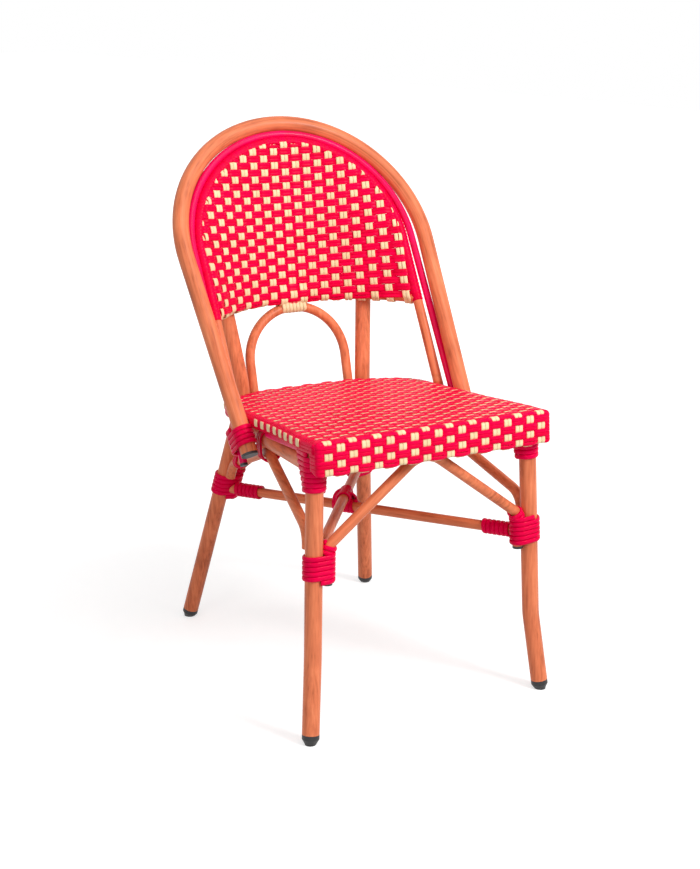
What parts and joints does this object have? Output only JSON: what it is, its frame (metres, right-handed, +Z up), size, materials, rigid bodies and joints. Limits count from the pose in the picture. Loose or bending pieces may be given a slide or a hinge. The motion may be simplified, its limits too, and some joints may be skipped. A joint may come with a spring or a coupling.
{
  "type": "bistro side chair",
  "caption": "Bistro side chair with a bamboo-look tube frame, a round hooped back and a red and beige woven seat and back panel, its joints bound with red cane.",
  "frame": {"origin": "on the floor, under the centre of the chair's bounding box", "axes": "+Z up, the chair's front faces -Y, +X to the right seen from the front"},
  "size_m": [0.4576, 0.5594, 0.8567],
  "materials": {
    "bamboo_paint": "satin",
    "trim_paint": "gloss",
    "woven_cane": "satin",
    "binding_cane": "gloss",
    "pale_cane": "satin",
    "black_plastic": "matte"
  },
  "bodies": {
    "root": {"front_leg_left": "bamboo_paint", "front_leg_right": "bamboo_paint", "rear_leg_left": "bamboo_paint", "rear_leg_right": "bamboo_paint", "front_rail": "bamboo_paint", "rear_rail": "bamboo_paint", "side_rail_left": "bamboo_paint", "side_rail_right": "bamboo_paint", "outer_hoop": "bamboo_paint", "panel_hoop": "bamboo_paint", "panel_crossbar": "bamboo_paint", "back_arch": "bamboo_paint", "front_brace": "bamboo_paint", "rear_brace": "bamboo_paint", "side_brace_left": "bamboo_paint", "side_brace_right": "bamboo_paint", "stretcher_lower": "bamboo_paint", "stretcher_upper": "bamboo_paint", "trim_hoop": "trim_paint", "seat_trim_left": "trim_paint", "seat_trim_right": "trim_paint", "seat_weave": "woven_cane", "back_weave": "woven_cane", "front_joint_bindings": "binding_cane", "rear_joint_bindings": "binding_cane", "leg_top_bindings": "binding_cane", "stretcher_bindings": "binding_cane", "hoop_bindings": "binding_cane", "rail_bindings": "binding_cane", "brace_bindings": "binding_cane", "arch_binding": "pale_cane", "foot_glides": "black_plastic", "hoop_end_caps": "black_plastic", "trim_end_caps": "black_plastic", "brace_end_caps": "black_plastic"}
  },
  "joints": []
}
